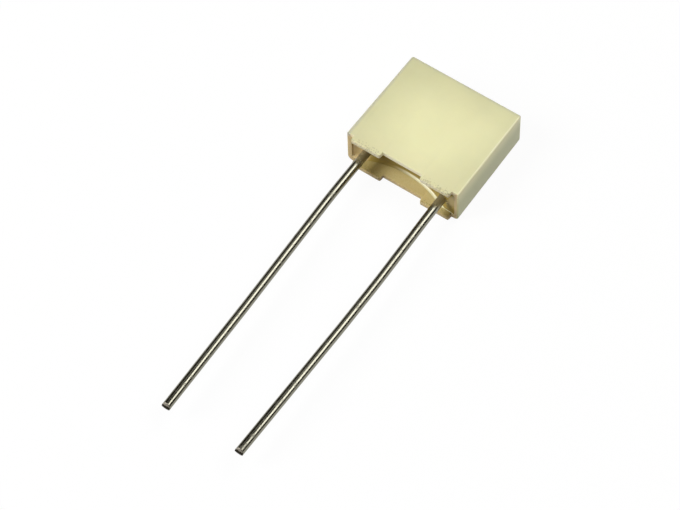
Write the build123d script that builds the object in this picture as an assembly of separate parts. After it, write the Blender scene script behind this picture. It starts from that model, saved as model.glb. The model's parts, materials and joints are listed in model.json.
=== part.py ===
from build123d import *
import math
import os

# Polyester film capacitor of the boxed kind: a thin moulded case, open towards the board,
# holds a flattened film winding with a sprayed metal layer on each end. A wire is welded to
# each layer, and cast resin closes the case round them. All sizes are in millimetres.
#
# It is drawn as it stands on a board: X along the two leads, -Y to the plain front face,
# +Z up, origin midway between the leads in the plane of the feet. It is then laid on its
# back face, as it comes to rest when loose, with the front face up and the leads along -Y.

# Moulded case, measured at its open end
CASE_WIDTH = 7.2
CASE_THICKNESS = 2.5
CASE_HEIGHT = 6.5
CASE_WALL = 0.3
CASE_ROOF = 0.35
CASE_OFFSET = -0.04  # the case's centre, counted from midway between the leads
WALL_DRAFT = 0.5  # degrees that each wall leans in towards the closed end
FRONT_CORNER_RADIUS = 0.1  # upright outer corners beside the plain front
BACK_CORNER_RADIUS = 0.3
ROOF_EDGE_RADIUS = 0.2
CAVITY_CORNER_RADIUS = 0.15

# Feet under the two long walls, with a vent between them for washing the board
RIM_HEIGHT = 0.3  # the rest of the rim stands this far off the board
VENT_WIDTH = 2.6
FOOT_LENGTH = 1.83
FOOT_END_DRAFT = 6.0  # degrees
FOOT_CORNER_RADIUS = 0.08

# Cast resin, which shrank to a hollow arch as it set
RESIN_SETBACK = 0.06  # from the rim to the resin, at the short walls
ARCH_DEPTH = 0.6  # along the long walls
ARCH_RADIUS = 5.64
ARCH_OFFSET = -0.3  # the arch's crown, counted from the case's centre
MENISCUS_RADIUS = 0.3  # resin drawn up the long walls
DISH_DEPTH = 0.03  # how much deeper the hollow is midway between the long walls
WICK_REACH = 0.16  # resin drawn up along each lead
WICK_HEIGHT = 0.18

# Winding and the sprayed metal on its ends
WINDING_COVER = 0.3  # resin over the winding, under the arch's crown
WINDING_ROOF_GAP = 0.3
WINDING_SIDE_GAP = 0.15
SPRAY_THICKNESS = 0.3
WELD_DEPTH = 0.05  # how deep a lead lies in the sprayed metal

# Leads, tinned wire cut off with side cutters
LEAD_DIAMETER = 0.5
LEAD_SIDE_GAP = 0.55  # from each lead to the short wall beside it, at the open end
LEAD_LENGTH = 18.2  # below the feet
LEAD_WELD_LENGTH = 2.9  # along the winding's end
BEND_RADIUS = 60.0
TIP_FRONT_ANGLE = 30.0  # degrees off square
TIP_BACK_ANGLE = 12.0
TIP_EDGE_RADIUS = 0.05

# Slight bends of the leads: how far below the feet each is
LEFT_UPPER_BEND = 2.7
LEFT_LOWER_BEND = 11.1
RIGHT_UPPER_BEND = 1.0
RIGHT_MIDDLE_BEND = 5.8
RIGHT_LOWER_BEND = 9.2
# Degrees that each lead leans towards the other, from each of its bends on
LEFT_LEAN_ANGLES = (1.86, 1.27)
RIGHT_LEAN_ANGLES = (-1.49, -0.27, 0.53)

DRAFT_SLOPE = math.tan(math.radians(WALL_DRAFT))
ROOF_UNDERSIDE = CASE_HEIGHT - CASE_ROOF
RESIN_EDGE = RIM_HEIGHT + RESIN_SETBACK
ARCH_CROWN = RESIN_EDGE + ARCH_DEPTH
ARCH_CENTRE_X = CASE_OFFSET + ARCH_OFFSET
ARCH_CENTRE_Z = ARCH_CROWN - ARCH_RADIUS
BARREL_RADIUS = ARCH_RADIUS + MENISCUS_RADIUS
WINDING_BASE = ARCH_CROWN + MENISCUS_RADIUS + DISH_DEPTH + WINDING_COVER
WINDING_TOP = ROOF_UNDERSIDE - WINDING_ROOF_GAP
LEAD_PITCH = CASE_WIDTH - 2 * (CASE_WALL + LEAD_SIDE_GAP) - LEAD_DIAMETER
LEAD_TOP = WINDING_BASE + LEAD_WELD_LENGTH
LEFT_BENDS = tuple(zip((LEFT_UPPER_BEND, LEFT_LOWER_BEND), LEFT_LEAN_ANGLES))
RIGHT_BENDS = tuple(zip((RIGHT_UPPER_BEND, RIGHT_MIDDLE_BEND, RIGHT_LOWER_BEND), RIGHT_LEAN_ANGLES))
SPRAY_FACE = (LEAD_PITCH - LEAD_DIAMETER) / 2 + WELD_DEPTH
STANDING = (Align.CENTER, Align.CENTER, Align.MIN)
HANGING = (Align.CENTER, Align.CENTER, Align.MAX)


def cavity_thickness(height):
    """Room between the long walls at a height above the board."""
    return CASE_THICKNESS - 2 * CASE_WALL - 2 * height * DRAFT_SLOPE


def drafted_block(width, thickness, height, front_radius, back_radius, top_radius):
    """Block that narrows upwards, with its upright and top edges rounded."""
    block = extrude(Rectangle(width, thickness), height, taper=WALL_DRAFT)
    for row, radius in ((0, front_radius), (-1, back_radius)):
        uprights = block.edges().filter_by(lambda edge: edge.bounding_box().size.Z > height / 2)
        block = fillet(uprights.group_by(Axis.Y)[row], radius)
    top_edges = block.faces().sort_by(Axis.Z)[-1].edges()
    return Pos(CASE_OFFSET, 0, 0) * fillet(top_edges, top_radius)


def cavity():
    """The room inside the case, down to the plane of the feet."""
    width = CASE_WIDTH - 2 * CASE_WALL
    radii = 3 * (CAVITY_CORNER_RADIUS,)
    return drafted_block(width, cavity_thickness(0), ROOF_UNDERSIDE, *radii)


def foot_profile():
    """Side view of one right-hand foot, wider where it joins the wall."""
    inner = VENT_WIDTH / 2
    outer = inner + FOOT_LENGTH
    flare = RIM_HEIGHT * math.tan(math.radians(FOOT_END_DRAFT))
    profile = make_face(
        Polyline(
            (inner, 0, 0),
            (outer, 0, 0),
            (outer + flare, 0, RIM_HEIGHT),
            (inner - flare, 0, RIM_HEIGHT),
            close=True,
        )
    )
    return fillet(profile.vertices().group_by(Axis.Z)[0], FOOT_CORNER_RADIUS)


def rim_relief():
    """Everything between the board and the rim, apart from the feet."""
    layer = Box(2 * CASE_WIDTH, 2 * CASE_THICKNESS, RIM_HEIGHT, align=STANDING)
    right_feet = extrude(foot_profile(), CASE_THICKNESS, both=True)
    feet = right_feet + mirror(right_feet, Plane.YZ)
    return Pos(CASE_OFFSET, 0, 0) * (layer - feet)


def moulded_case():
    """Thin-walled box with four feet round its open end."""
    radii = (FRONT_CORNER_RADIUS, BACK_CORNER_RADIUS, ROOF_EDGE_RADIUS)
    shell = drafted_block(CASE_WIDTH, CASE_THICKNESS, CASE_HEIGHT, *radii)
    return shell - cavity() - rim_relief()


def resin_hollow():
    """Barrel whose top is the set resin's surface: an arch along X, dished across Y."""
    side = cavity_thickness(0) / 2
    left = (0, -side, BARREL_RADIUS)
    right = (0, side, BARREL_RADIUS)
    section = make_face(
        [
            Polyline(right, (0, side, 0), (0, -side, 0), left),
            ThreePointArc(left, (0, 0, BARREL_RADIUS + DISH_DEPTH), right),
        ]
    )
    section = fillet(section.vertices().group_by(Axis.Z)[-1], MENISCUS_RADIUS)
    return Pos(ARCH_CENTRE_X, 0, ARCH_CENTRE_Z) * revolve(section, Axis.Y)


def resin_level(x):
    """Height of the resin's surface midway between the long walls."""
    radius = BARREL_RADIUS + DISH_DEPTH
    return max(ARCH_CENTRE_Z + math.sqrt(radius**2 - (x - ARCH_CENTRE_X) ** 2), RESIN_EDGE)


def resin_wick(x):
    """Collar of resin that climbed a lead, with a hollow flank."""
    tip = LEAD_DIAMETER / 2
    root = tip + WICK_REACH
    flank = ThreePointArc(
        (root, 0, WICK_REACH),
        (tip + WICK_REACH / 4, 0, -WICK_HEIGHT / 4),
        (tip, 0, -WICK_HEIGHT),
    )
    core = Polyline(
        (tip, 0, -WICK_HEIGHT), (0, 0, -WICK_HEIGHT), (0, 0, WICK_REACH), (root, 0, WICK_REACH)
    )
    collar = revolve(make_face([flank, core]), Axis.Z)
    return Pos(x, 0, resin_level(x)) * collar


def winding_section():
    """End view of the flattened roll of film."""
    height = WINDING_TOP - WINDING_BASE
    thickness = cavity_thickness(WINDING_TOP) - 2 * WINDING_SIDE_GAP
    middle = (WINDING_TOP + WINDING_BASE) / 2
    return Pos(0, 0, middle) * (Plane.YZ * Rot(0, 0, 90) * SlotOverall(height, thickness))


def film_winding():
    """The roll of metallised film, between the two sprayed ends."""
    return extrude(winding_section(), SPRAY_FACE - SPRAY_THICKNESS, both=True)


def sprayed_end(side, lead):
    """Metal sprayed on one end of the winding, grooved by the welded lead."""
    layer = extrude(Pos(SPRAY_FACE, 0, 0) * winding_section(), -SPRAY_THICKNESS)
    return (layer if side > 0 else mirror(layer, Plane.YZ)) - lead


def lead_route(side, bends):
    """Corner points of a lead, from its weld to just past its tip."""
    x = side * LEAD_PITCH / 2
    points = [(x, 0, LEAD_TOP)]
    depth = 0
    lean = 0
    for next_depth, next_lean in (*bends, (LEAD_LENGTH + LEAD_DIAMETER, 0)):
        x -= side * (next_depth - depth) * math.tan(math.radians(lean))
        points.append((x, 0, -next_depth))
        depth = next_depth
        lean = next_lean
    return points


def tip_cutter(x):
    """What the side cutters took off: two slopes that meet in a ridge along X."""
    size = 4 * LEAD_DIAMETER
    front = Rot(-TIP_FRONT_ANGLE, 0, 0) * Box(size, size, size, align=HANGING)
    back = Rot(TIP_BACK_ANGLE, 0, 0) * Box(size, size, size, align=HANGING)
    return Pos(x, 0, -LEAD_LENGTH) * (front + back)


def lead(side, bends):
    """One tinned wire along its slightly bent route."""
    points = lead_route(side, bends)
    section = Plane(origin=points[0], z_dir=(0, 0, -1)) * Circle(LEAD_DIAMETER / 2)
    wire = sweep(section, FilletPolyline(*points, radius=BEND_RADIUS))
    wire -= tip_cutter(points[-1][0])
    cut_faces = wire.faces().sort_by(Axis.Z)[:2]
    return fillet(cut_faces.edges(), TIP_EDGE_RADIUS)


def resin_fill(inner_pieces):
    """Resin round everything in the case, open to the board under its arch."""
    below = Box(2 * CASE_WIDTH, 2 * CASE_THICKNESS, RESIN_EDGE, align=STANDING)
    resin = cavity() - below - resin_hollow()
    for side in (-1, 1):
        resin += resin_wick(side * LEAD_PITCH / 2)
    for piece in inner_pieces:
        resin -= piece
    return resin


def capacitor():
    """All pieces by name, standing on the board."""
    lead_left = lead(-1, LEFT_BENDS)
    lead_right = lead(1, RIGHT_BENDS)
    inner = {
        "film_winding": film_winding(),
        "contact_layer_left": sprayed_end(-1, lead_left),
        "contact_layer_right": sprayed_end(1, lead_right),
        "lead_left": lead_left,
        "lead_right": lead_right,
    }
    return {"case": moulded_case(), "resin_fill": resin_fill(inner.values()), **inner}


os.makedirs("parts", exist_ok=True)
laid_down = Rot(-90 - WALL_DRAFT, 0, 0)
for name, piece in capacitor().items():
    export_step(laid_down * piece, f"parts/{name}.step")
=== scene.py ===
import json
import math

import bmesh
import bpy
from bpy.props import FloatProperty, FloatVectorProperty, IntProperty, PointerProperty, StringProperty
from mathutils import Matrix, Vector


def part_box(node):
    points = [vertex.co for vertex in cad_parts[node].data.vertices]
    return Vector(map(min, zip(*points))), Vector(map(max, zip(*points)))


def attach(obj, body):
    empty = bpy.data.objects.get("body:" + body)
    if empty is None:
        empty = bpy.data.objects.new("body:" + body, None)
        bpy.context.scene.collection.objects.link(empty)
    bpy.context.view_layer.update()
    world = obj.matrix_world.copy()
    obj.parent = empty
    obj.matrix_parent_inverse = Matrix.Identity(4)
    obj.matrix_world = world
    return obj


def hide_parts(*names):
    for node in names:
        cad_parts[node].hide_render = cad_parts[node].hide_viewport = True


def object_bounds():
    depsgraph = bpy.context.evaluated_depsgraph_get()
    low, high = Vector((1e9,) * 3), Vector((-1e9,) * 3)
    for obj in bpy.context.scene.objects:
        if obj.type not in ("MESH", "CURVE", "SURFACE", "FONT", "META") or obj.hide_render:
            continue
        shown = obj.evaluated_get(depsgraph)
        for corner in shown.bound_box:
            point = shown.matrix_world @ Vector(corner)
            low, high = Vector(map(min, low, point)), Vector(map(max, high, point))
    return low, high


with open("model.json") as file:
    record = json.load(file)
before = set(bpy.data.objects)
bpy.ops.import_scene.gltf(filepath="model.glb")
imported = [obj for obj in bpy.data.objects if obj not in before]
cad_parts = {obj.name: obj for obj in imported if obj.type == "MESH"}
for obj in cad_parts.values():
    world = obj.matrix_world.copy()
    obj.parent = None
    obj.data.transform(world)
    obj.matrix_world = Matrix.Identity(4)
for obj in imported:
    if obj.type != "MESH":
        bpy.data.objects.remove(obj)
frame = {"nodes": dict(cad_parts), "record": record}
cad_low, cad_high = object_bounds()

bl_info = {
    "name": "Boxed Film Capacitor",
    "version": (1, 0, 0),
    "blender": (4, 5, 0),
    "location": "View3D > Sidebar > Capacitor",
    "description": "Dresses the frame of a potted, boxed polyester film capacitor",
    "category": "Add Mesh",
}

# Every piece is drawn standing on a board, in metres: X from the left lead to the right one, -Y to
# the plain front, +Z up from the feet. It is then laid on its drafted back face, as the frame lies.
MM = 0.001
DRAFT = math.radians(0.5)
RIM_HEIGHT = 0.3 * MM
WALL = 0.3 * MM
LAY_DOWN = Matrix.Rotation(-math.pi / 2 - DRAFT, 4, "X")
MOUNTS = {mount["name"]: mount for mount in frame["record"]["mounts"]}
CASE_LOW, CASE_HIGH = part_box("case")
FLOOR_LEVEL = cad_low.z

# Inner face of the back wall, on which the case lies
WALL_LEVEL = FLOOR_LEVEL + WALL

# Over this distance the resin rises to meet the rim of each short wall
END_REACH = 0.6 * MM

# Steps round an upright corner, an edge of the closed end, a foot's corner, a bend and a bevel
CORNER_STEPS = 8
EDGE_STEPS = 6
FOOT_STEPS = 4
BEND_STEPS = 12
BEVEL_STEPS = 3

# Points nearer than this are merged
SAME_POINT = 0.0001 * MM

# Least radius of a corner, and slack in a test of height
HAIR = 0.001 * MM

# Faces count as inner past this share of a wall's thickness
INNER_SHARE = 0.8

# Edges sharper than these keep a crease, are broken on the mould, and are burnished on a cut
CREASE = math.radians(30)
MOULD_EDGE = math.radians(40)
CUT_EDGE = math.radians(20)

# Brightest spot of the plain front, the middle of a pool of painted light
BRIGHT_MIDDLE = Vector((0.2, 2.9, 1.2)) * MM

# Bends of each lead: how far below the feet, then the lean towards the other lead after it
LEFT_BENDS = ((2.7 * MM, math.radians(1.86)), (11.1 * MM, math.radians(1.27)))
RIGHT_BENDS = (
    (1.0 * MM, math.radians(-1.49)),
    (5.8 * MM, math.radians(-0.27)),
    (9.2 * MM, math.radians(0.53)),
)

# Softboxes aimed at the origin: name, place, width, height and watts
SOFTBOXES = (
    ("overhead_softbox", (0.155, 0.18, 0.385), 0.42, 0.2, 1.14),
    ("dim_softbox", (-0.14, 0.17, 0.37), 0.2, 0.2, 0.06),
    ("front_lamp", (-0.243, -0.2385, 0.2925), 0.2, 0.3, 1.65),
)

# Width in millimetres of the sensor that the focal length is given for
SENSOR_WIDTH = 36

# Material slots of the case, and the slot of a lead's cut ends
PLASTIC, WETTED, RIM, FLASH, PAINTED_HIGHLIGHT = range(5)
CORE_SLOT = 1

# Kinds of node
MATH = "ShaderNodeMath"
MIX = "ShaderNodeMix"
NOISE = "ShaderNodeTexNoise"
RAMP = "ShaderNodeMapRange"
BUMP = "ShaderNodeBump"
SPLIT = "ShaderNodeSeparateXYZ"
JOIN = "ShaderNodeCombineXYZ"
PLACE = "ShaderNodeTexCoord"
PRINCIPLED = "ShaderNodeBsdfPrincipled"
SURFACE = "ShaderNodeOutputMaterial"
BLOCK = "GeometryNodeMeshCube"
MOVE = "GeometryNodeTransform"
BOOLEAN = "GeometryNodeMeshBoolean"


def length(name, description, default):
    """A size in metres that a user can change."""
    return FloatProperty(
        name=name, description=description, default=default, unit="LENGTH", precision=6
    )


def angle(name, description, default):
    """An angle that a user sees in degrees."""
    return FloatProperty(
        name=name, description=description, default=math.radians(default), subtype="ANGLE"
    )


def colour(name, description, default):
    """A colour written as an sRGB hex value."""
    return StringProperty(name=name, description=description, default=default)


class CaseSizes(bpy.types.PropertyGroup):
    """Moulded case, measured in the plane of its feet."""

    rim_height: length("Rim height", "Gap between the board and the rim beside the feet", RIM_HEIGHT)
    width: length(
        "Width",
        "Outside, from the left wall to the right one",
        CASE_HIGH.x - CASE_LOW.x + 2 * RIM_HEIGHT * math.tan(DRAFT),
    )
    offset: length("Offset", "Middle of the case, from midway between the leads", -0.04 * MM)
    thickness: length(
        "Thickness", "Outside, front to back", (CASE_HIGH.z - CASE_LOW.z) / math.cos(DRAFT)
    )
    height: length("Height", "From the feet to the closed end", 6.5 * MM)
    wall: length("Wall", "Thickness of the four walls", WALL)
    roof: length("Roof", "Thickness of the closed end", 0.35 * MM)
    front_radius: length("Front corner radius", "Upright corners beside the front", 0.1 * MM)
    back_radius: length("Back corner radius", "Upright corners beside the back", 0.3 * MM)
    roof_radius: length("Roof edge radius", "Edges round the closed end", 0.2 * MM)
    cavity_radius: length("Cavity radius", "Inner corners", 0.15 * MM)
    vent_width: length("Vent width", "Gap between the two feet of a wall", 2.6 * MM)
    foot_length: length("Foot length", "Each foot, where it stands on the board", 1.83 * MM)
    foot_draft: angle("Foot draft", "Flare of the ends of the feet", 6)
    foot_radius: length("Foot corner radius", "Lower corners of each foot", 0.08 * MM)
    edge_break: length("Edge break", "Rounding of the mould's sharp edges", 0.03 * MM)
    # The plastic colour carries the painted light of the front's middle, and its shade colour the
    # painted shade away from it; the mottle varies between them
    plastic: colour("Plastic", "Cream moulded polyester", "#F0EDBB")
    plastic_mottle_and_painted_shade: colour("Plastic shade", "The same plastic, dulled towards its edges", "#CFCDA0")
    warm: colour("Warm end", "Tint of the plastic towards the open end", "#FFF0CC")
    # The right side is painted: paler near its front edge as painted light, darker over the rest as
    # painted shade
    side: colour("Side", "Right side beside its rubbed front edge", "#F0EBBC")
    side_painted_shade: colour("Side shade", "The rest of the right side", "#BFC08D")
    # Painted shade greys the front's left and closed edges
    edge_painted_shade: colour("Worn edge", "Edges greyed by handling", "#BDBBA8")
    # Painted highlight on the rounding of the right front edge
    edge_painted_highlight: colour("Burnished edge", "Right front edge, rubbed pale", "#FFFBE0")
    grime: colour("Grime", "Specks by the open end", "#84784F")
    flash: colour("Flash", "Rough edge of the plain front's feet", "#FFFADA")
    flash_shade: colour("Flash shade", "Grime in its roughness", "#DDD2A8")
    wetted: colour("Wetted wall", "Inner walls under a thin film of resin", "#EAD99C")
    wetted_shade: colour("Wetted wall shade", "Thicker resin film", "#D0BE7C")
    # Painted shade on the inner walls near the leads
    film: colour("Film", "Thicker resin film on the walls near the leads", "#988748")
    rim: colour("Rim", "Resin smeared on the rim", "#D9BE84")
    rim_shade: colour("Rim shade", "Thicker smear", "#C0A872")


class ResinSizes(bpy.types.PropertyGroup):
    """Cast resin in the open end."""

    setback: length("Setback", "From the rim to the resin at the short walls", 0.06 * MM)
    arch_depth: length("Arch depth", "Deepest point along the long walls", 0.6 * MM)
    arch_radius: length("Arch radius", "Hollow arch left by shrinkage", 5.64 * MM)
    arch_offset: length("Arch offset", "Crown of the arch, from the middle of the case", -0.3 * MM)
    meniscus: length("Meniscus", "Radius of the resin drawn up the long walls", 0.3 * MM)
    dish_depth: length("Dish depth", "Hollow midway between the long walls", 0.03 * MM)
    wick: length("Wick", "Height of the resin drawn up each lead", 0.18 * MM)
    resin: colour("Resin", "Cast resin, honey brown", "#B39C54")
    resin_shade: colour("Resin shade", "Thicker, darker resin", "#917D3D")
    # Painted light on the resin over the left end
    skin: colour("Skin", "Thin resin that ran up to the left wall", "#FFE3A9")
    # Painted highlight along the resin's meniscus on the back wall
    painted_highlight: colour("Lip", "Thin pale lip drawn up the back wall", "#FFFACB")


class LeadSizes(bpy.types.PropertyGroup):
    """Two tinned wires."""

    pitch: length("Pitch", "Between the leads where they leave the case", 5.0 * MM)
    radius: length("Radius", "Of the wire", MOUNTS["lead_left_pin"]["dims"]["r_mm"] * MM)
    reach: length("Length", "From the feet to the tips", 18.2 * MM)
    top: length("Weld end", "Height of the welded end over the board", 4.49 * MM)
    bend_radius: length("Bend radius", "Of each slight bend", 60 * MM)
    front_cut: angle("Front cut", "Slope that the side cutters left in front, off square", 30)
    back_cut: angle("Back cut", "Slope that they left behind, off square", 12)
    tip_radius: length("Tip edge radius", "Burnished edges of the cut", 0.05 * MM)
    sides: IntProperty(name="Sides", description="Facets round the wire", default=48, min=12)
    tin: colour("Tin", "Tinned surface, a little dull", "#8A887A")
    # Painted reflection of the case and resin on the wire near the case, olive and less metallic
    film: colour("Film", "Resin film on the wire where it leaves the case", "#B3A474")
    core: colour("Core", "Copper-clad core where it was cut", "#958F83")
    # Painted shade on the lower part of the cut
    core_painted_shade: colour("Smeared core", "Lower part of the cut, smeared dark", "#2E2A20")


class StageSizes(bpy.types.PropertyGroup):
    """Floor and camera."""

    azimuth: angle("Azimuth", "Camera's bearing round the part", 37.55)
    elevation: angle("Elevation", "Camera's height over the floor", 58.56)
    roll: angle("Roll", "Camera's turn about its line of sight", -2.96)
    aim: FloatVectorProperty(
        name="Aim",
        description="Where the camera points",
        default=(0.019 * MM, -5.62 * MM, 0),
        unit="LENGTH",
        precision=6,
    )
    distance: length("Distance", "From the aim to the camera", 157.04 * MM)
    focal_length: FloatProperty(
        name="Focal length",
        description=f"On a {SENSOR_WIDTH} mm sensor",
        default=157.8,
        unit="CAMERA",
    )
    floor: colour("Floor", "Light that the white table throws back", "#C0C0C0")


def srgb(hex_colour):
    """Linear RGBA of an sRGB hex value."""
    values = [int(hex_colour[i : i + 2], 16) / 255 for i in (1, 3, 5)]
    return [v / 12.92 if v <= 0.04045 else ((v + 0.055) / 1.055) ** 2.4 for v in values] + [1.0]


def add_node(tree, kind, inputs=(), **settings):
    """Adds a node with its settings and links.

    The inputs are a dict by name, or a row in order. Each is a value, a socket, or a node whose
    first open output feeds it.
    """
    node = tree.nodes.new(kind)
    for name, value in settings.items():
        setattr(node, name, value)
    pairs = inputs.items() if isinstance(inputs, dict) else enumerate(inputs)
    for socket, value in pairs:
        if isinstance(value, bpy.types.Node):
            value = next(output for output in value.outputs if output.enabled)
        if isinstance(value, bpy.types.NodeSocket):
            tree.links.new(value, node.inputs[socket])
        else:
            node.inputs[socket].default_value = value
    return node


def new_material(name):
    """An empty node material and its tree."""
    material = bpy.data.materials.new(name)
    material.use_nodes = True
    material.node_tree.nodes.clear()
    return material, material.node_tree


def moulded_polyester(name, sizes, light, shade, roughness, patch, gloss, film):
    """Glass-filled polyester (PBT), injection moulded in a spark-eroded tool.

    It looks like dense cream wax: mottled in patches, satin, with a fine even grain and a little
    light carried under the surface at thin edges. Painted light makes it brightest in the middle of
    the front and paler on the right side near its front edge; painted shade darkens the rest of the
    right side and greys the front's left and closed edges. The film is the share of painted shade
    that lies over it near the leads.
    """
    material, tree = new_material(name)
    place = add_node(tree, PLACE).outputs["Object"]
    axes = add_node(tree, SPLIT, (place,)).outputs
    from_middle = add_node(
        tree, "ShaderNodeVectorMath", (place, BRIGHT_MIDDLE), operation="DISTANCE"
    )
    # Specks are as small as one or two pixels. Real grain is near 0.02 mm, under half a pixel, so
    # it is drawn at 0.07 mm.
    patterns = {}
    for label, feature, detail, roughening in (
        ("mottle", patch, 4.0, 0.6),
        ("specks", 0.08 * MM, 2.0, 0.5),
        ("grain", 0.07 * MM, 3.0, 0.7),
    ):
        inputs = {"Vector": place, "Scale": 1 / feature, "Detail": detail, "Roughness": roughening}
        patterns[label] = add_node(tree, NOISE, inputs)
    # Each share goes smoothly from its first level to its last, over a stretch given in mm
    shares = {}
    for label, distance, start, end, first, last in (
        ("glow", from_middle, 0.8, 4.9, 0.8, 0.0),
        ("right_half", axes["X"], 1.0, 3.0, 0.0, 0.26),
        ("closed_half", axes["Y"], 2.0, 5.0, 0.0, 1.0),
        ("open_half", axes["Y"], 1.9, 0.5, 0.0, 0.09),
        ("open_end", axes["Y"], 0.6, 0.0, 0.0, 0.27),
        ("right_side", axes["X"], 3.42, 3.5, 0.0, 0.85),
        ("near_front", axes["Z"], 0.0, 1.35, 0.0, 1.0),
        ("on_front", axes["Z"], 0.8, 1.1, 0.0, 0.75),
        ("left_edge", axes["X"], -3.36, -3.54, 0.0, 1.0),
        ("closed_edge", axes["Y"], 6.18, 6.42, 0.0, 0.45),
        ("by_left_lead", axes["X"], -0.9, -2.2, 0.0, film),
        ("by_right_lead", axes["X"], 2.3, 3.0, 0.0, film),
    ):
        inputs = (distance, start * MM, end * MM, first, last)
        shares[label] = add_node(tree, RAMP, inputs, interpolation_type="SMOOTHSTEP")
    # Painted light makes the front bright in its middle and, less so, in its far right corner,
    # and reaches every finish of the case near there. The mottle varies that by about a third.
    inputs = (shares["right_half"], shares["closed_half"])
    corner = add_node(tree, MATH, inputs, operation="MULTIPLY")
    glow = add_node(tree, MATH, (shares["glow"], corner), operation="ADD")
    inputs = (patterns["mottle"], 0.35, glow)
    bright = add_node(tree, MATH, inputs, operation="MULTIPLY_ADD")
    # Painted light makes the right side paler near the front, and painted shade darkens the rest of
    # it
    inputs = {
        "Factor": shares["near_front"],
        "A": srgb(sizes.side_painted_shade),
        "B": srgb(sizes.side),
    }
    side = add_node(tree, MIX, inputs, data_type="RGBA")
    # Painted shade greys the front's left and closed edges
    inputs = (shares["left_edge"], shares["closed_edge"])
    edges = add_node(tree, MATH, inputs, operation="MAXIMUM")
    painted_edge_shade_share = add_node(tree, MATH, (edges, shares["on_front"]), operation="MULTIPLY")
    # Painted shade darkens the inner walls near the leads, by the film's share
    inputs = (shares["by_left_lead"], shares["by_right_lead"])
    painted_shade_by_leads = add_node(tree, MATH, inputs, operation="MAXIMUM")
    # Specks of resin and flash show where their noise is high, more of them along the open end
    inputs = (patterns["specks"], shares["open_end"])
    specks = add_node(tree, MATH, inputs, operation="ADD")
    inputs = (specks, 0.75, 0.86, 0.0, 0.45)
    specks = add_node(tree, RAMP, inputs, interpolation_type="SMOOTHSTEP")
    # Each colour lies over those before it. Resin under the thin front warms its open half.
    base = srgb(shade)
    for share, tint in (
        (bright, srgb(light)),
        (shares["open_half"], srgb(sizes.warm)),
        (shares["right_side"], side),
        (painted_edge_shade_share, srgb(sizes.edge_painted_shade)),
        (painted_shade_by_leads, srgb(sizes.film)),
        (specks, srgb(sizes.grime)),
    ):
        inputs = {"Factor": share, "A": base, "B": tint}
        base = add_node(tree, MIX, inputs, data_type="RGBA")
    # The grain changes the gloss a little as well as the height
    grain = patterns["grain"]
    inputs = (grain, 0.0, 1.0, roughness - 0.06, roughness + 0.06)
    dulled = add_node(tree, RAMP, inputs, interpolation_type="SMOOTHSTEP")
    inputs = {"Height": grain, "Strength": 0.35, "Distance": 0.004 * MM}
    bumps = add_node(tree, BUMP, inputs)
    inputs = {
        "Base Color": base,
        "Roughness": dulled,
        "Normal": bumps,
        "IOR": 1.52,
        "Specular IOR Level": gloss,
        "Subsurface Weight": 0.2,
        "Subsurface Radius": (1.0, 0.8, 0.45),
        "Subsurface Scale": 0.35 * MM,
    }
    add_node(tree, SURFACE, (add_node(tree, PRINCIPLED, inputs),))
    return material


def cast_epoxy(name, sizes):
    """Cast epoxy potting resin, poured and cured in the case.

    It looks like hardened honey: glossy with a slightly wavy skin, and darker where it is thick.
    Painted light pales it over the left end, and a painted highlight runs along the meniscus on the
    back wall.
    """
    material, tree = new_material(name)
    place = add_node(tree, PLACE).outputs["Object"]
    axes = add_node(tree, SPLIT, (place,)).outputs
    cloud = add_node(tree, NOISE, {"Vector": place, "Scale": 1 / (0.9 * MM), "Detail": 3.0})
    waves = add_node(tree, NOISE, {"Vector": place, "Scale": 1 / (0.5 * MM), "Detail": 2.0})
    # Painted light lies over the left end, and a painted highlight along the meniscus on the
    # right part of the back wall
    shares = {}
    for label, distance, start, end in (
        ("left_end", axes["X"], -2.4 * MM, -2.8 * MM),
        ("up_wall", axes["Z"], WALL_LEVEL + 0.09 * MM, WALL_LEVEL + 0.04 * MM),
        ("right_part", axes["X"], -1.4 * MM, 0.4 * MM),
    ):
        inputs = (distance, start, end)
        shares[label] = add_node(tree, RAMP, inputs, interpolation_type="SMOOTHSTEP")
    inputs = (shares["up_wall"], shares["right_part"])
    painted_highlight = add_node(tree, MATH, inputs, operation="MULTIPLY")
    base = srgb(sizes.resin_shade)
    for share, tint in ((cloud, sizes.resin), (shares["left_end"], sizes.skin), (painted_highlight, sizes.painted_highlight)):
        inputs = {"Factor": share, "A": base, "B": srgb(tint)}
        base = add_node(tree, MIX, inputs, data_type="RGBA")
    bumps = add_node(tree, BUMP, {"Height": waves, "Strength": 0.3, "Distance": 0.02 * MM})
    inputs = {
        "Base Color": base,
        "Roughness": 0.22,
        "Normal": bumps,
        "IOR": 1.5,
        "Specular IOR Level": 0.25,
        "Subsurface Weight": 0.15,
        "Subsurface Radius": (1.0, 0.7, 0.3),
        "Subsurface Scale": 0.3 * MM,
    }
    add_node(tree, SURFACE, (add_node(tree, PRINCIPLED, inputs),))
    return material


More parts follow.
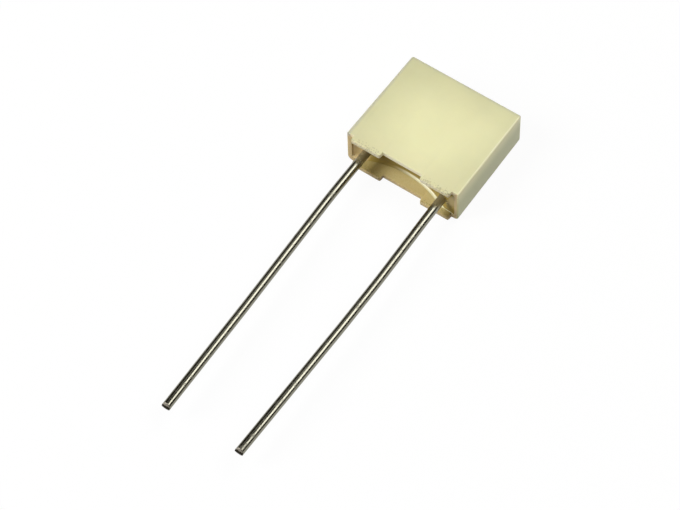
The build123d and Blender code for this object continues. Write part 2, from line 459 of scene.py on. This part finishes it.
def tinned_wire(name, tin, film):
    """Hot-tinned steel wire, drawn through a die.

    Bright but not mirror-like: fine drawing lines run along it, with handling scuffs and pits
    that break the edges of its highlights. Where it leaves the case, a painted reflection of the
    resin makes it olive and less metallic.
    """
    material, tree = new_material(name)
    place = add_node(tree, PLACE).outputs["Object"]
    along = add_node(tree, SPLIT, (place,)).outputs["Y"]
    stretched = add_node(tree, "ShaderNodeMapping", {"Vector": place, "Scale": (1.0, 0.04, 1.0)})
    # Real drawing lines are near 0.01 mm apart, far under a pixel, so they are drawn at 0.06 mm
    drawn = add_node(tree, NOISE, {"Vector": stretched, "Scale": 1 / (0.06 * MM), "Detail": 3.0})
    inputs = {"Vector": place, "Scale": 1 / (0.35 * MM), "Detail": 3.0, "Roughness": 0.6}
    scuffs = add_node(tree, NOISE, inputs)
    height = add_node(tree, MATH, (drawn, 0.25, scuffs), operation="MULTIPLY_ADD")
    # The painted reflection ends about half a millimetre below the feet
    inputs = (along, -0.2 * MM, -0.55 * MM, 0.4, 1.0)
    past_painted_reflection = add_node(tree, RAMP, inputs, interpolation_type="SMOOTHSTEP")
    # Scuffed spots are duller than the drawn tin
    inputs = (scuffs, 0.5, 0.72, 0.18, 0.42)
    dulled = add_node(tree, RAMP, inputs, interpolation_type="SMOOTHSTEP")
    inputs = {"Factor": past_painted_reflection, "A": srgb(film), "B": srgb(tin)}
    base = add_node(tree, MIX, inputs, data_type="RGBA")
    bumps = add_node(tree, BUMP, {"Height": height, "Strength": 0.38, "Distance": 0.008 * MM})
    inputs = {"Base Color": base, "Metallic": past_painted_reflection, "Roughness": dulled, "Normal": bumps}
    add_node(tree, SURFACE, (add_node(tree, PRINCIPLED, inputs),))
    return material


def sheared_core(name, core, shaded):
    """Copper-clad steel core, bared where side cutters sheared the wire.

    A warm grey cut, torn rather than polished, so it is rougher than the tin beside it. Its lower
    part is painted dark, as painted shade for the shadowed table that it faces.
    """
    material, tree = new_material(name)
    place = add_node(tree, PLACE).outputs["Object"]
    level = add_node(tree, SPLIT, (place,)).outputs["Z"]
    # Real tear marks are near 0.03 mm, half a pixel, so they are drawn at 0.08 mm
    tear = add_node(tree, NOISE, {"Vector": place, "Scale": 1 / (0.08 * MM), "Detail": 4.0})
    # The painted shade ends in a ragged line across the cut
    ragged = add_node(tree, MATH, (tear, 0.12 * MM, level), operation="MULTIPLY_ADD")
    inputs = (ragged, 0.31 * MM, 0.35 * MM)
    bared = add_node(tree, RAMP, inputs, interpolation_type="SMOOTHSTEP")
    inputs = {"Factor": bared, "A": srgb(shaded), "B": srgb(core)}
    base = add_node(tree, MIX, inputs, data_type="RGBA")
    bumps = add_node(tree, BUMP, {"Height": tear, "Strength": 0.6, "Distance": 0.02 * MM})
    inputs = {"Base Color": base, "Metallic": 1.0, "Roughness": 0.5, "Normal": bumps}
    add_node(tree, SURFACE, (add_node(tree, PRINCIPLED, inputs),))
    return material


def metallised_film(name):
    """Polyester film with a vapour-deposited aluminium skin, wound flat: silvery, in fine layers."""
    material, tree = new_material(name)
    place = add_node(tree, PLACE).outputs["Object"]
    # Real layers are a few microns thin, so they are drawn at 0.3 mm
    inputs = {"Vector": place, "Scale": 1 / (0.3 * MM), "Distortion": 0.4}
    layers = add_node(tree, "ShaderNodeTexWave", inputs, bands_direction="Z").outputs["Fac"]
    inputs = {"Factor": layers, "A": srgb("#9EA1A6"), "B": srgb("#C9CBCF")}
    base = add_node(tree, MIX, inputs, data_type="RGBA")
    inputs = {"Base Color": base, "Metallic": 1.0, "Roughness": 0.3}
    add_node(tree, SURFACE, (add_node(tree, PRINCIPLED, inputs),))
    return material


def sprayed_zinc(name):
    """Arc-sprayed zinc: a matt grey crust of small splashed grains."""
    material, tree = new_material(name)
    place = add_node(tree, PLACE).outputs["Object"]
    grains = add_node(tree, "ShaderNodeTexVoronoi", {"Vector": place, "Scale": 1 / (0.08 * MM)})
    bumps = add_node(tree, BUMP, {"Height": grains, "Strength": 0.8, "Distance": 0.03 * MM})
    inputs = {
        "Base Color": srgb("#8D8E90"),
        "Metallic": 1.0,
        "Roughness": 0.6,
        "Normal": bumps,
    }
    add_node(tree, SURFACE, (add_node(tree, PRINCIPLED, inputs),))
    return material


def white_table(name, tint):
    """Matt white laminate: reads as white, and keeps part of the shadow that falls on it."""
    material, tree = new_material(name)
    matt = add_node(tree, "ShaderNodeBsdfDiffuse", {"Color": srgb(tint)})
    # The matt part of the mix is darker than white, so the glow is a little over white
    glow = add_node(tree, "ShaderNodeEmission", {"Color": (1, 1, 1, 1), "Strength": 1.065})
    path = add_node(tree, "ShaderNodeLightPath").outputs
    seen = path["Is Camera Ray"]
    for ray in ("Is Glossy Ray", "Is Transmission Ray"):
        seen = add_node(tree, MATH, (seen, path[ray]), operation="MAXIMUM")
    # What the glow leaves to the matt part keeps the shadow
    share = add_node(tree, MATH, (seen, 0.88), operation="MULTIPLY")
    mixed = add_node(tree, "ShaderNodeMixShader", (share, matt, glow))
    add_node(tree, SURFACE, (mixed,))
    return material


def grey_felt(name):
    """Dark grey felt on the flags that keep stray light off the wires."""
    material, tree = new_material(name)
    felt = add_node(tree, PRINCIPLED, {"Base Color": srgb("#565147"), "Roughness": 0.95})
    add_node(tree, SURFACE, (felt,))
    return material


def held(value, limit):
    """The value, kept between the limit and its negative."""
    return max(-limit, min(limit, value))


def rounded_outline(half_x, half_y, front_radius, back_radius, stops):
    """Points of a round-cornered rectangle, with extra points at the stops along X."""
    points = []
    for corner, (sign_x, sign_y) in enumerate(((1, -1), (1, 1), (-1, 1), (-1, -1))):
        radius = front_radius if sign_y < 0 else back_radius
        centre = Vector((sign_x * (half_x - radius), sign_y * (half_y - radius)))
        for step in range(CORNER_STEPS + 1):
            turn = math.radians(-90 + 90 * corner + 90 * step / CORNER_STEPS)
            points.append(centre + Vector((math.cos(turn), math.sin(turn))) * radius)
        if corner == 1:
            points += [Vector((held(x, half_x - radius), half_y)) for x in reversed(stops)]
    points += [Vector((held(x, half_x - front_radius), -half_y)) for x in stops]
    return points


def foot_stops(sizes):
    """The rim's line over the feet of a wall: places along X and heights, from left to right."""
    flare = sizes.rim_height * math.tan(sizes.foot_draft)
    inner = sizes.vent_width / 2
    outer = inner + sizes.foot_length
    radius = sizes.foot_radius
    turn = math.pi / 2 - sizes.foot_draft
    land = radius * math.tan(turn / 2)
    right = [(inner - flare, sizes.rim_height)]
    for centre, sweep in ((inner + land, -turn), (outer - land, turn)):
        for step in range(FOOT_STEPS + 1):
            part = step / FOOT_STEPS if sweep > 0 else 1 - step / FOOT_STEPS
            bearing = sweep * part - math.pi / 2
            right.append((centre + radius * math.cos(bearing), radius * (1 + math.sin(bearing))))
    right.append((outer + flare, sizes.rim_height))
    return [(-x, z) for x, z in reversed(right)] + right


def lofted_mesh(name, rings):
    """Closed mesh from rings of matching points; the first and last ring are capped."""
    bm = bmesh.new()
    loops = [[bm.verts.new(point) for point in ring] for ring in rings]
    count = len(loops[0])
    for low, high in zip(loops, loops[1:]):
        for i in range(count):
            j = (i + 1) % count
            bm.faces.new((low[i], low[j], high[j], high[i]))
    bm.faces.new(list(reversed(loops[0])))
    bm.faces.new(loops[-1])
    bmesh.ops.remove_doubles(bm, verts=bm.verts, dist=SAME_POINT)
    bmesh.ops.recalc_face_normals(bm, faces=bm.faces)
    mesh = bpy.data.meshes.new(name)
    bm.to_mesh(mesh)
    bm.free()
    return mesh


def drafted_ring(half_x, half_y, radii, height, stops, inset=0):
    """One level ring round a drafted box, drawn in by an inset."""
    drawn_in = height * math.tan(DRAFT) + inset
    corners = [max(radius - inset, HAIR) for radius in radii]
    outline = rounded_outline(half_x - drawn_in, half_y - drawn_in, *corners, stops)
    return [Vector((p.x, p.y, height)) for p in outline]


def case_mesh(sizes):
    """The moulded shell: outside, round the roof, and down the inside to the rim and feet."""
    stops = foot_stops(sizes)
    xs = [x for x, z in stops]
    levels = [z for x, z in stops]
    half_x, half_y = sizes.width / 2, sizes.thickness / 2
    slope = math.tan(DRAFT)

    def rim(half_x, half_y, radii):
        """Lowest ring of a wall, which follows the feet."""
        ring = drafted_ring(half_x, half_y, radii, sizes.rim_height, xs)
        back = ring[2 * (CORNER_STEPS + 1) :][: len(xs)]
        front = ring[-len(xs) :]
        for point, level in zip(back + front, levels[::-1] + levels):
            point.y += math.copysign((point.z - level) * slope, point.y)
            point.z = level
        return ring

    def rounded_top(half_x, half_y, radii, height, edge):
        """Rings of a wall's upper end, where it curves over into the roof."""
        rings = []
        for step in range(EDGE_STEPS + 1):
            turn = math.radians(90 * step / EDGE_STEPS)
            inset = edge * (1 - math.cos(turn))
            level = height - edge * (1 - math.sin(turn))
            rings.append(drafted_ring(half_x, half_y, radii, level, xs, inset))
        return rings

    outer = (half_x, half_y, (sizes.front_radius, sizes.back_radius))
    inner = (half_x - sizes.wall, half_y - sizes.wall, (sizes.cavity_radius,) * 2)
    outside = [rim(*outer)] + rounded_top(*outer, sizes.height, sizes.roof_radius)
    ceiling = sizes.height - sizes.roof
    inside = [rim(*inner)] + rounded_top(*inner, ceiling, sizes.cavity_radius)
    mesh = lofted_mesh("case_shell", list(reversed(inside)) + outside)
    mesh.transform(Matrix.Translation((sizes.offset, 0, 0)))
    return mesh


def cavity_block(sizes):
    """Closed block of the case's inner shape, from the feet to the ceiling.

    It also fills the broken inner edge of the short walls.
    """
    half_x = sizes.width / 2 - sizes.wall
    half_y = sizes.thickness / 2 - sizes.wall
    mouth, edge = sizes.rim_height, sizes.edge_break
    radii = (sizes.cavity_radius,) * 2
    rings = [
        drafted_ring(half_x + flare, half_y, radii, level, [])
        for level, flare in (
            (0, edge),
            (mouth, edge),
            (mouth + edge, 0),
            (sizes.height - sizes.roof, 0),
        )
    ]
    mesh = lofted_mesh("resin_block", rings)
    mesh.transform(Matrix.Translation((sizes.offset, 0, 0)))
    return mesh


def new_object(name, data):
    """Links an object to the scene."""
    piece = bpy.data.objects.new(name, data)
    bpy.context.scene.collection.objects.link(piece)
    return piece


def bake_modifiers(piece, name):
    """Replaces a piece by a plain mesh object of what its modifiers make."""
    evaluated = piece.evaluated_get(bpy.context.evaluated_depsgraph_get())
    mesh = bpy.data.meshes.new_from_object(evaluated)
    mesh.name = name
    # Mesh Boolean leaves an empty first slot
    if mesh.materials[0] is None:
        mesh.materials.pop(index=0)
    bpy.data.objects.remove(piece)
    return new_object(name, mesh)


def break_edges(piece, name, width, sharpest, slot=-1):
    """Bevels the edges sharper than an angle and bakes the piece; the slot paints the bevel."""
    bevel = piece.modifiers.new("Bevel", "BEVEL")
    bevel.width = width
    bevel.segments = BEVEL_STEPS
    bevel.limit_method = "ANGLE"
    bevel.angle_limit = sharpest
    bevel.use_clamp_overlap = True
    bevel.material = slot
    return bake_modifiers(piece, name)


def finish_piece(piece, node):
    """Lays a piece down as the frame lies, in place of its CAD node."""
    piece.data.shade_smooth()
    piece.data.set_sharp_from_angle(angle=CREASE)
    piece.data.transform(LAY_DOWN)
    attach(piece, "root")
    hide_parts(node)


def new_tree(name, sockets):
    """Geometry node group with named float, integer or material inputs."""
    tree = bpy.data.node_groups.new(name, "GeometryNodeTree")
    tree.interface.new_socket("Geometry", in_out="INPUT", socket_type="NodeSocketGeometry")
    for label, kind in sockets:
        tree.interface.new_socket(label, in_out="INPUT", socket_type=kind)
    tree.interface.new_socket("Geometry", in_out="OUTPUT", socket_type="NodeSocketGeometry")
    return tree


def add_tree(piece, tree, values):
    """Adds the tree as a modifier and sets its inputs by socket identifier."""
    modifier = piece.modifiers.new(tree.name, "NODES")
    modifier.node_group = tree
    for item in tree.interface.items_tree:
        if item.in_out == "INPUT" and item.name in values:
            modifier[item.identifier] = values[item.name]


def end_tree(tree, geometry, *finishes):
    """Realize Instances, Set Material for each material and the faces it goes on, and output."""
    done = add_node(tree, "GeometryNodeRealizeInstances", (geometry,))
    for material, faces in finishes:
        inputs = {"Geometry": done, "Selection": faces, "Material": material}
        done = add_node(tree, "GeometryNodeSetMaterial", inputs)
    add_node(tree, "NodeGroupOutput", (done,))


def resin_tree():
    """Cuts the resin's hollow out of a block: an arch along X with resin drawn up everything."""
    floats = (
        "Crown",
        "Arch Radius",
        "Arch X",
        "Dish Depth",
        "Edge Level",
        "End Rise",
        "Meniscus",
        "Wick",
        "Half Thickness",
        "Half Width",
        "Case X",
        "Half Pitch",
        "Lead Radius",
    )
    sockets = [(label, "NodeSocketFloat") for label in floats]
    tree = new_tree("Resin Hollow", [*sockets, ("Resin", "NodeSocketMaterial")])
    given = add_node(tree, "NodeGroupInput").outputs
    half_width = given["Half Width"]
    half_thickness = given["Half Thickness"]
    dish = given["Dish Depth"]

    # The slab that is cut away stands a little proud of the block all round
    width = add_node(tree, MATH, (half_width, 2.0, 0.2 * MM), operation="MULTIPLY_ADD")
    thickness = add_node(tree, MATH, (half_thickness, 2.0, 0.04 * MM), operation="MULTIPLY_ADD")
    drop = 1 * MM
    size = add_node(tree, JOIN, (width, thickness, drop))
    inputs = {"Size": size, "Vertices X": 260, "Vertices Y": 120, "Vertices Z": 2}
    slab = add_node(tree, BLOCK, inputs)
    place = add_node(tree, "GeometryNodeInputPosition")
    axes = add_node(tree, SPLIT, (place,)).outputs
    x = add_node(tree, MATH, (axes["X"], given["Case X"]), operation="ADD")

    # Rows of points close up towards the long walls, where the resin curves the most
    half_slab = add_node(tree, MATH, (thickness, 0.5), operation="MULTIPLY")
    share = add_node(tree, MATH, (axes["Y"], thickness), operation="DIVIDE")
    bearing = add_node(tree, MATH, (share, math.pi), operation="MULTIPLY")
    sine = add_node(tree, MATH, (bearing,), operation="SINE")
    y = add_node(tree, MATH, (sine, half_slab), operation="MULTIPLY")

    def squared(value):
        absolute = add_node(tree, MATH, (value,), operation="ABSOLUTE")
        return add_node(tree, MATH, (absolute, 2.0), operation="POWER")

    def other_side(radius, leg):
        """Third side of a right triangle; none where the leg is longer than the radius."""
        rest = add_node(tree, MATH, (squared(radius), squared(leg)), operation="SUBTRACT")
        rest = add_node(tree, MATH, (rest, 0.0), operation="MAXIMUM")
        return add_node(tree, MATH, (rest,), operation="SQRT")

    def drawn_up(radius, distance):
        """How far the resin is drawn up, at a distance from a wall or wire."""
        clear = add_node(tree, MATH, (distance, 0.0), operation="MAXIMUM")
        inward = add_node(tree, MATH, (radius, clear), operation="SUBTRACT")
        inward = add_node(tree, MATH, (inward, 0.0), operation="MAXIMUM")
        return add_node(tree, MATH, (radius, other_side(radius, inward)), operation="SUBTRACT")

    # The arch's radius grows towards the middle of the dish, along an arc across the case
    dish_sum = add_node(tree, MATH, (squared(half_thickness), squared(dish)), operation="ADD")
    twice_dish = add_node(tree, MATH, (dish, 2.0), operation="MULTIPLY")
    dish_radius = add_node(tree, MATH, (dish_sum, twice_dish), operation="DIVIDE")
    dish_arc = other_side(dish_radius, y)
    sunk = add_node(tree, MATH, (dish_radius, dish_arc), operation="SUBTRACT")
    off_axis = add_node(tree, MATH, (y,), operation="ABSOLUTE")
    from_wall = add_node(tree, MATH, (half_thickness, off_axis), operation="SUBTRACT")
    radius = given["Arch Radius"]
    for part in (dish, given["Meniscus"]):
        radius = add_node(tree, MATH, (radius, part), operation="ADD")
    for part in (sunk, drawn_up(given["Meniscus"], from_wall)):
        radius = add_node(tree, MATH, (radius, part), operation="SUBTRACT")
    from_crown = add_node(tree, MATH, (x, given["Arch X"]), operation="SUBTRACT")
    centre = add_node(tree, MATH, (given["Crown"], given["Arch Radius"]), operation="SUBTRACT")
    arch = other_side(radius, from_crown)
    level = add_node(tree, MATH, (centre, arch), operation="ADD")
    level = add_node(tree, MATH, (level, given["Edge Level"]), operation="MAXIMUM")

    # The resin comes nearer the board at the short walls and round each lead
    from_middle = add_node(tree, MATH, (axes["X"],), operation="ABSOLUTE")
    from_end = add_node(tree, MATH, (half_width, from_middle), operation="SUBTRACT")
    near_end = add_node(tree, MATH, (from_end, -1 / END_REACH, 1.0), operation="MULTIPLY_ADD")
    near_end = add_node(tree, MATH, (near_end, 0.0), operation="MAXIMUM")
    inputs = (squared(near_end), given["End Rise"])
    rises = [add_node(tree, MATH, inputs, operation="MULTIPLY")]
    for side in (-1.0, 1.0):
        inputs = (given["Half Pitch"], -side, x)
        from_lead = add_node(tree, MATH, inputs, operation="MULTIPLY_ADD")
        reach = add_node(tree, MATH, (squared(from_lead), squared(y)), operation="ADD")
        reach = add_node(tree, MATH, (reach,), operation="SQRT")
        gap = add_node(tree, MATH, (reach, given["Lead Radius"]), operation="SUBTRACT")
        rises.append(drawn_up(given["Wick"], gap))
    for rise in rises:
        level = add_node(tree, MATH, (level, rise), operation="SUBTRACT")

    # The slab's upper side takes the resin's level, and its lower side lies below the feet
    on_top = add_node(tree, MATH, (axes["Z"], 0.0), operation="GREATER_THAN")
    below = add_node(tree, MATH, (on_top, 1.0), operation="SUBTRACT")
    top = add_node(tree, MATH, (on_top, level), operation="MULTIPLY")
    height = add_node(tree, MATH, (below, drop, top), operation="MULTIPLY_ADD")
    spot = add_node(tree, JOIN, (x, y, height))
    inputs = {"Geometry": slab, "Position": spot}
    hollow = add_node(tree, "GeometryNodeSetPosition", inputs)
    inputs = {"Mesh 1": given["Geometry"], "Mesh 2": hollow}
    cut = add_node(tree, BOOLEAN, inputs, operation="DIFFERENCE", solver="EXACT")
    end_tree(tree, cut, (given["Resin"], True))
    return tree


def lead_tree():
    """Wire along a route with rounded bends, its end sheared to a ridge by two slopes."""
    sockets = [
        ("Radius", "NodeSocketFloat"),
        ("Bend Radius", "NodeSocketFloat"),
        ("Sides", "NodeSocketInt"),
        ("Reach", "NodeSocketFloat"),
        ("Front Cut", "NodeSocketFloat"),
        ("Back Cut", "NodeSocketFloat"),
        ("Wire", "NodeSocketMaterial"),
        ("Core", "NodeSocketMaterial"),
    ]
    tree = new_tree("Tinned Lead", sockets)
    given = add_node(tree, "NodeGroupInput").outputs
    inputs = {"Curve": given["Geometry"], "Radius": given["Bend Radius"], "Count": BEND_STEPS}
    route = add_node(tree, "GeometryNodeFilletCurve", inputs, mode="POLY")
    inputs = {"Resolution": given["Sides"], "Radius": given["Radius"]}
    ring = add_node(tree, "GeometryNodeCurvePrimitiveCircle", inputs)
    inputs = {"Curve": route, "Profile Curve": ring, "Fill Caps": True}
    wire = add_node(tree, "GeometryNodeCurveToMesh", inputs)

    # Each cut takes away a block whose upper face lies along the slope, through the tip
    depth = add_node(tree, MATH, (given["Reach"], -1.0), operation="MULTIPLY")
    tip = add_node(tree, JOIN, {"Z": depth})
    size = 4 * MM
    block = add_node(tree, BLOCK, {"Size": (2 * size, size, size)})
    hung = add_node(tree, MOVE, {"Geometry": block, "Translation": (0, 0, -size / 2)})
    for slope, sign in ((given["Front Cut"], -1.0), (given["Back Cut"], 1.0)):
        tilt = add_node(tree, MATH, (slope, sign), operation="MULTIPLY")
        turn = add_node(tree, JOIN, {"X": tilt})
        placed = add_node(tree, MOVE, {"Geometry": hung, "Translation": tip, "Rotation": turn})
        inputs = {"Mesh 1": wire, "Mesh 2": placed}
        wire = add_node(tree, BOOLEAN, inputs, operation="DIFFERENCE", solver="EXACT")

    # The core shows on the ends, the faces that don't look sideways
    normal = add_node(tree, "GeometryNodeInputNormal")
    upright = add_node(tree, SPLIT, (normal,)).outputs["Z"]
    steepness = add_node(tree, MATH, (upright,), operation="ABSOLUTE")
    ends = add_node(tree, MATH, (steepness, 0.5), operation="GREATER_THAN")
    end_tree(tree, wire, (given["Wire"], True), (given["Core"], ends))
    return tree


def lead_route(name, side, bends, sizes):
    """Poly curve through the corners of a lead's route, from its weld to past its tip."""
    x = side * sizes.pitch / 2
    points = [Vector((x, 0, sizes.top))]
    depth, lean = 0, 0
    for next_depth, next_lean in (*bends, (sizes.reach + 2 * sizes.radius, 0)):
        x -= side * (next_depth - depth) * math.tan(lean)
        points.append(Vector((x, 0, -next_depth)))
        depth, lean = next_depth, next_lean
    curve = bpy.data.curves.new(name, "CURVE")
    curve.dimensions = "3D"
    spline = curve.splines.new("POLY")
    spline.points.add(len(points) - 1)
    for spot, point in zip(spline.points, points):
        spot.co = (*point, 1)
    return new_object(name, curve)


class CAPACITOR_OT_case(bpy.types.Operator):
    """Build the moulded case with its four feet"""

    bl_idname = "capacitor.case"
    bl_label = "Moulded Case"

    def execute(self, context):
        sizes = context.scene.capacitor_case
        mesh = case_mesh(sizes)
        # Name, lit and shaded colours, roughness, size of the mottle, specular level, share of
        # painted shade near the leads
        for name, *finish in (
            ("moulded_polyester", sizes.plastic, sizes.plastic_mottle_and_painted_shade, 0.38, 1.6 * MM, 0.5, 0),
            ("resin_wetted_wall", sizes.wetted, sizes.wetted_shade, 0.28, 1.2 * MM, 0.4, 0.6),
            ("resin_smeared_rim", sizes.rim, sizes.rim_shade, 0.34, 0.5 * MM, 0.15, 0),
            ("moulding_flash", sizes.flash, sizes.flash_shade, 0.55, 0.15 * MM, 0.5, 0),
            ("painted_highlight_edge", sizes.edge_painted_highlight, sizes.plastic, 0.25, 0.6 * MM, 0.5, 0),
        ):
            mesh.materials.append(moulded_polyester(name, sizes, *finish))
        half_x = sizes.width / 2 - INNER_SHARE * sizes.wall
        half_y = sizes.thickness / 2 - INNER_SHARE * sizes.wall
        for face in mesh.polygons:
            x, y, z = face.center.x - sizes.offset, face.center.y, face.center.z
            if abs(x) < half_x and abs(y) < half_y and z < sizes.height / 2:
                end_wall = abs(face.normal.x) > 0.5
                face.material_index = RIM if end_wall else WETTED
            elif z < sizes.rim_height + HAIR:
                front_foot = y < -half_y and abs(x) < half_x
                face.material_index = FLASH if front_foot else RIM
            else:
                # The right front edge's rounding takes the painted highlight
                right_front_edge = face.normal.x > 0.05 and face.normal.y < -0.05
                face.material_index = PAINTED_HIGHLIGHT if right_front_edge else PLASTIC
        piece = new_object("case_looks", mesh)
        piece = break_edges(piece, "case_looks", sizes.edge_break, MOULD_EDGE)
        finish_piece(piece, "case")
        return {"FINISHED"}


class CAPACITOR_OT_resin(bpy.types.Operator):
    """Cast the resin in the open end"""

    bl_idname = "capacitor.resin"
    bl_label = "Cast Resin"

    def execute(self, context):
        case = context.scene.capacitor_case
        sizes = context.scene.capacitor_resin
        leads = context.scene.capacitor_leads
        piece = new_object("resin_looks", cavity_block(case))
        edge = case.rim_height + sizes.setback
        values = {
            "Crown": edge + sizes.arch_depth,
            "Arch Radius": sizes.arch_radius,
            "Arch X": case.offset + sizes.arch_offset,
            "Dish Depth": sizes.dish_depth,
            "Edge Level": edge,
            "End Rise": sizes.setback,
            "Meniscus": sizes.meniscus,
            "Wick": sizes.wick,
            "Half Thickness": case.thickness / 2 - case.wall,
            "Half Width": case.width / 2 - case.wall,
            "Case X": case.offset,
            "Half Pitch": leads.pitch / 2,
            "Lead Radius": leads.radius,
            "Resin": cast_epoxy("cast_epoxy", sizes),
        }
        add_tree(piece, resin_tree(), values)
        piece = bake_modifiers(piece, "resin_looks")
        finish_piece(piece, "resin_fill")
        return {"FINISHED"}


class CAPACITOR_OT_leads(bpy.types.Operator):
    """Draw the two tinned leads"""

    bl_idname = "capacitor.leads"
    bl_label = "Tinned Leads"

    def execute(self, context):
        sizes = context.scene.capacitor_leads
        tree = lead_tree()
        values = {
            "Radius": sizes.radius,
            "Bend Radius": sizes.bend_radius,
            "Sides": sizes.sides,
            "Reach": sizes.reach,
            "Front Cut": sizes.front_cut,
            "Back Cut": sizes.back_cut,
            "Wire": tinned_wire("tinned_wire", sizes.tin, sizes.film),
            "Core": sheared_core("sheared_core", sizes.core, sizes.core_painted_shade),
        }
        for side, node, bends in ((-1, "lead_left", LEFT_BENDS), (1, "lead_right", RIGHT_BENDS)):
            piece = lead_route(node + "_route", side, bends, sizes)
            add_tree(piece, tree, values)
            piece = bake_modifiers(piece, node + "_cut")
            name = node + "_looks"
            piece = break_edges(piece, name, sizes.tip_radius, CUT_EDGE, CORE_SLOT)
            finish_piece(piece, node)
        return {"FINISHED"}


class CAPACITOR_OT_core(bpy.types.Operator):
    """Finish the film winding and its sprayed ends, sealed in the case"""

    bl_idname = "capacitor.core"
    bl_label = "Winding and Sprayed Ends"

    def execute(self, context):
        film = metallised_film("metallised_film")
        zinc = sprayed_zinc("sprayed_zinc")
        for node, material in (
            ("film_winding", film),
            ("contact_layer_left", zinc),
            ("contact_layer_right", zinc),
        ):
            for slot in frame["nodes"][node].material_slots:
                slot.material = material
        return {"FINISHED"}


def add_softbox(name, place, width, height, watts):
    """Rectangular lamp aimed at the origin."""
    data = bpy.data.lights.new(name, "AREA")
    data.shape = "RECTANGLE"
    data.size = width
    data.size_y = height
    data.energy = watts
    lamp = new_object(name, data)
    lamp.location = place
    lamp.rotation_mode = "QUATERNION"
    lamp.rotation_quaternion = (-Vector(place)).to_track_quat("-Z", "Y")


def add_camera(sizes):
    """Camera at the photograph's viewing angle."""
    data = bpy.data.cameras.new("camera")
    data.lens = sizes.focal_length
    data.sensor_width = SENSOR_WIDTH
    data.clip_start = 1 * MM
    data.clip_end = 10
    camera = new_object("camera", data)
    azimuth, elevation = sizes.azimuth, sizes.elevation
    out = math.cos(elevation)
    back = Vector((math.sin(azimuth) * out, -math.cos(azimuth) * out, math.sin(elevation)))
    turn = Matrix.Rotation(azimuth, 3, "Z") @ Matrix.Rotation(math.pi / 2 - elevation, 3, "X")
    turn = turn @ Matrix.Rotation(sizes.roll, 3, "Z")
    camera.matrix_world = turn.to_4x4()
    camera.location = Vector(sizes.aim) + back * sizes.distance
    bpy.context.scene.camera = camera


def add_floor(sizes):
    """White table under the part."""
    reach = 2.0
    mesh = bpy.data.meshes.new("table")
    corners = [(-reach, -reach), (reach, -reach), (reach, reach), (-reach, reach)]
    mesh.from_pydata([(x, y, FLOOR_LEVEL) for x, y in corners], [], [(0, 1, 2, 3)])
    mesh.materials.append(white_table("white_table", sizes.floor))
    new_object("table", mesh)


def add_flags():
    """Dome of dark felt flags, open to the white surroundings only just above the table."""
    radius = 0.6
    lowest, highest = math.radians(6), math.radians(89)
    sides = 48
    bands = 8
    bm = bmesh.new()
    rows = []
    for band in range(bands):
        lift = lowest + (highest - lowest) * band / (bands - 1)
        reach = radius * math.cos(lift)
        height = radius * math.sin(lift)
        row = []
        for side in range(sides):
            turn = 2 * math.pi * side / sides
            row.append(bm.verts.new((reach * math.cos(turn), reach * math.sin(turn), height)))
        rows.append(row)
    for lower, upper in zip(rows, rows[1:]):
        for i in range(sides):
            j = (i + 1) % sides
            bm.faces.new((lower[i], upper[i], upper[j], lower[j]))
    mesh = bpy.data.meshes.new("flags")
    bm.to_mesh(mesh)
    bm.free()
    mesh.materials.append(grey_felt("grey_felt"))
    new_object("flags", mesh)


def set_world():
    """White surroundings."""
    world = bpy.data.worlds.new("studio")
    bpy.context.scene.world = world
    world.use_nodes = True
    tree = world.node_tree
    tree.nodes.clear()
    white = add_node(tree, "ShaderNodeBackground", {"Color": (1, 1, 1, 1), "Strength": 1.0})
    add_node(tree, "ShaderNodeOutputWorld", (white,))


class CAPACITOR_OT_stage(bpy.types.Operator):
    """Set the table, the softboxes and the camera"""

    bl_idname = "capacitor.stage"
    bl_label = "Stage"

    def execute(self, context):
        sizes = context.scene.capacitor_stage
        add_floor(sizes)
        add_flags()
        set_world()
        for softbox in SOFTBOXES:
            add_softbox(*softbox)
        add_camera(sizes)
        context.scene.view_settings.view_transform = "Standard"
        return {"FINISHED"}


OPERATORS = (
    CAPACITOR_OT_case,
    CAPACITOR_OT_leads,
    CAPACITOR_OT_resin,
    CAPACITOR_OT_core,
    CAPACITOR_OT_stage,
)
GROUPS = {
    "capacitor_case": CaseSizes,
    "capacitor_resin": ResinSizes,
    "capacitor_leads": LeadSizes,
    "capacitor_stage": StageSizes,
}


class CAPACITOR_PT_panel(bpy.types.Panel):
    """Sizes and build steps of the capacitor"""

    bl_idname = "CAPACITOR_PT_panel"
    bl_label = "Film Capacitor"
    bl_space_type = "VIEW_3D"
    bl_region_type = "UI"
    bl_category = "Capacitor"

    def draw(self, context):
        for operator in OPERATORS:
            self.layout.operator(operator.bl_idname)
        for name, group in GROUPS.items():
            box = self.layout.box()
            box.label(text=name.replace("_", " ").title())
            for size in group.__annotations__:
                box.prop(getattr(context.scene, name), size)


CLASSES = (*GROUPS.values(), *OPERATORS, CAPACITOR_PT_panel)


def register():
    for cls in CLASSES:
        bpy.utils.register_class(cls)
    for name, group in GROUPS.items():
        setattr(bpy.types.Scene, name, PointerProperty(type=group))


def unregister():
    for name in GROUPS:
        delattr(bpy.types.Scene, name)
    for cls in reversed(CLASSES):
        bpy.utils.unregister_class(cls)


def main():
    """Builds every piece and the stage."""
    register()
    for operator in OPERATORS:
        group, step = operator.bl_idname.split(".")
        getattr(getattr(bpy.ops, group), step)()


if __name__ == "__main__":
    main()
